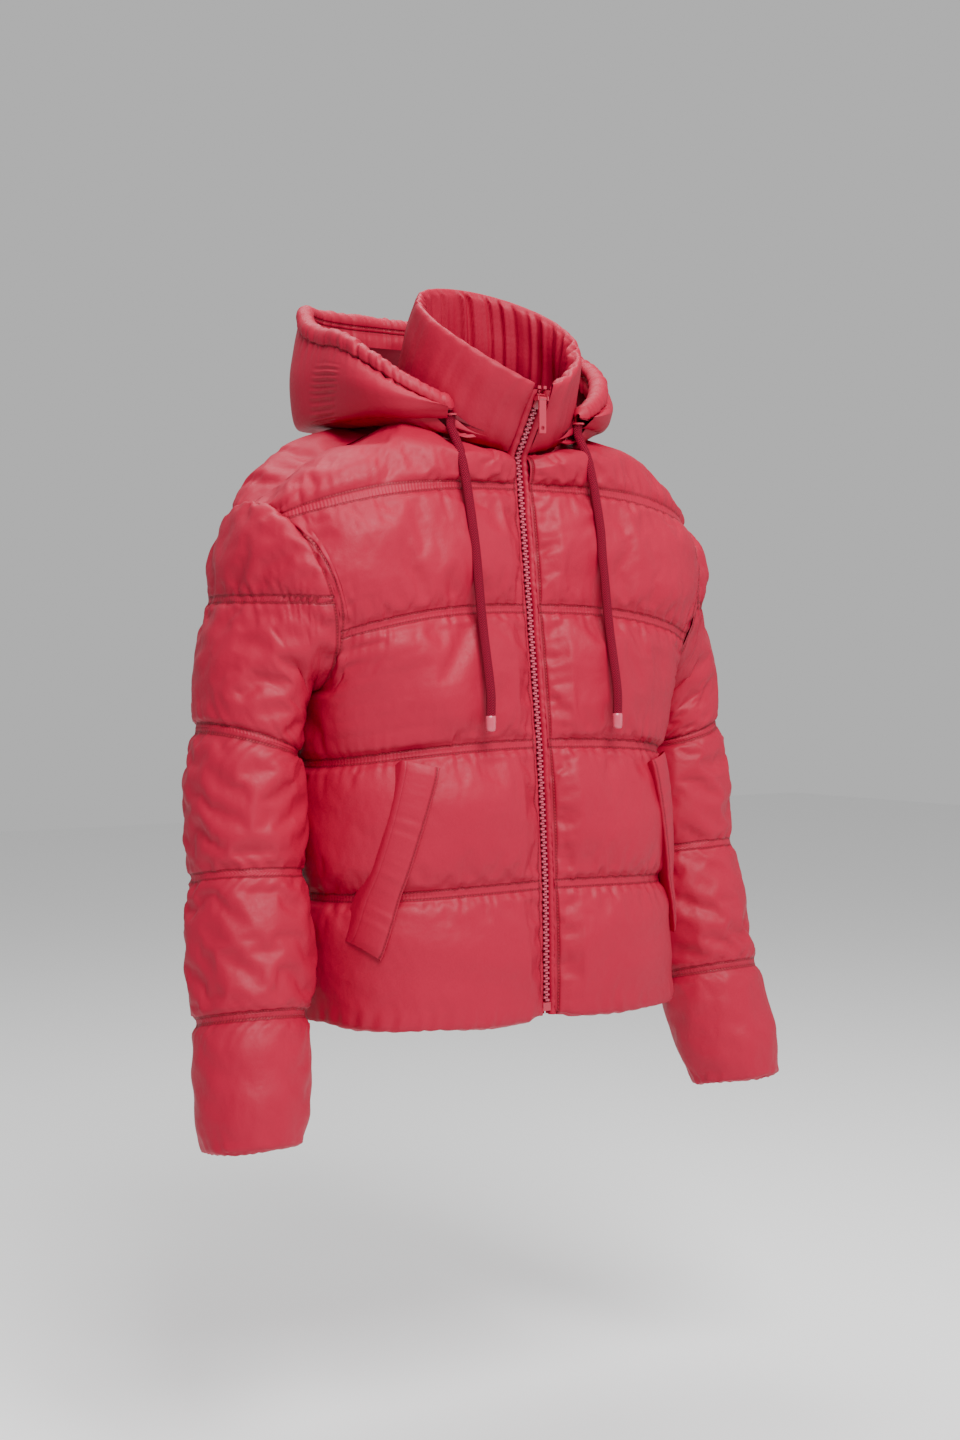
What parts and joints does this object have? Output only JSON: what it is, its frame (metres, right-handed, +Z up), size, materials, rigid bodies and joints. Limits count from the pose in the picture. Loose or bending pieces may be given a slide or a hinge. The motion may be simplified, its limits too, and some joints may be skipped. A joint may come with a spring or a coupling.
{
  "type": "ski jacket",
  "caption": "Quilted padded ski jacket with a stand collar, a full-length front zip, a fold-down hood with a drawcord and two welt pockets",
  "frame": {"origin": "centre of the hanger loop inside the back of the collar, which holds the jacket up", "axes": "+Z up, front of the jacket towards -Y, wearer's left towards +X"},
  "size_m": [0.676, 0.302, 0.8225],
  "materials": {
    "shell_nylon": "semi-gloss quilted nylon",
    "lining_fabric": "smooth dark red lining",
    "zip_tape": "woven tape",
    "cord_braid": "matte herringbone braid",
    "tip_plastic": "satin moulded tip",
    "zip_plastic": "satin moulded teeth",
    "zip_metal": "satin paint",
    "eyelet_metal": "satin paint"
  },
  "bodies": {
    "torso": {"back_panel": "shell_nylon", "back_yoke": "shell_nylon", "right_front_panel": "shell_nylon", "left_front_panel": "shell_nylon", "right_front_yoke": "shell_nylon", "left_front_yoke": "shell_nylon", "back_lining": "lining_fabric", "right_front_lining": "lining_fabric", "left_front_lining": "lining_fabric", "hem_facing": "lining_fabric", "collar_shell": "shell_nylon", "collar_facing": "lining_fabric", "hood_base": "shell_nylon", "hanger_loop": "zip_tape", "right_zip_tape": "zip_tape", "left_zip_tape": "zip_tape", "right_zip_teeth": "zip_plastic", "left_zip_teeth": "zip_plastic", "zip_box": "zip_metal", "zip_pin": "zip_metal", "zip_top_stops": "zip_metal", "wind_flap": "lining_fabric", "right_pocket_welt": "shell_nylon", "left_pocket_welt": "shell_nylon", "right_pocket_bag": "lining_fabric", "left_pocket_bag": "lining_fabric", "right_eyelet": "eyelet_metal", "left_eyelet": "eyelet_metal"},
    "hood": {"hood_right_panel": "shell_nylon", "hood_left_panel": "shell_nylon", "hood_centre_panel": "shell_nylon", "hood_lining": "lining_fabric", "hood_casing": "shell_nylon", "hood_drawcord": "cord_braid"},
    "right_cord_end": {"right_cord": "cord_braid", "right_cord_tip": "tip_plastic"},
    "left_cord_end": {"left_cord": "cord_braid", "left_cord_tip": "tip_plastic"},
    "slider": {"zip_slider": "zip_metal"},
    "pull": {"zip_pull": "zip_metal"},
    "right_upper_arm": {"right_upper_sleeve": "shell_nylon", "right_upper_lining": "lining_fabric"},
    "right_forearm": {"right_forearm_sleeve": "shell_nylon", "right_forearm_lining": "lining_fabric", "right_cuff_binding": "lining_fabric"},
    "left_upper_arm": {"left_upper_sleeve": "shell_nylon", "left_upper_lining": "lining_fabric"},
    "left_forearm": {"left_forearm_sleeve": "shell_nylon", "left_forearm_lining": "lining_fabric", "left_cuff_binding": "lining_fabric"}
  },
  "joints": [
    {"name": "right_shoulder", "type": "hinge", "parent": "torso", "child": "right_upper_arm", "pos_m": [-0.25, -0.023, -0.105], "axis": [0, 1, 0], "range_deg": [0, 60]},
    {"name": "left_shoulder", "type": "hinge", "parent": "torso", "child": "left_upper_arm", "pos_m": [0.25, -0.023, -0.105], "axis": [0, -1, 0], "range_deg": [0, 60]},
    {"name": "right_elbow", "type": "hinge", "parent": "right_upper_arm", "child": "right_forearm", "pos_m": [-0.26, -0.093, -0.378], "axis": [-1, 0, 0], "range_deg": [0, 80]},
    {"name": "left_elbow", "type": "hinge", "parent": "left_upper_arm", "child": "left_forearm", "pos_m": [0.26, -0.093, -0.378], "axis": [-1, 0, 0], "range_deg": [0, 80]},
    {"name": "hood_raise", "type": "hinge", "parent": "torso", "child": "hood", "pos_m": [0, -0.1064, -0.008], "axis": [1, 0, 0], "range_deg": [0, 100]},
    {"name": "right_cord_swing", "type": "hinge", "parent": "torso", "child": "right_cord_end", "pos_m": [-0.076, -0.1111, -0.017], "axis": [-1, 0, 0], "range_deg": [0, 60]},
    {"name": "left_cord_swing", "type": "hinge", "parent": "torso", "child": "left_cord_end", "pos_m": [0.076, -0.1111, -0.017], "axis": [-1, 0, 0], "range_deg": [0, 60]},
    {"name": "zip_slide", "type": "slide", "parent": "torso", "child": "slider", "axis": [0, 0.5325, -0.8465], "range_m": [0, 0.045]},
    {"name": "pull_swing", "type": "hinge", "parent": "slider", "child": "pull", "pos_m": [0, -0.14871, 0], "axis": [-1, 0, 0], "range_deg": [0, 150]}
  ]
}
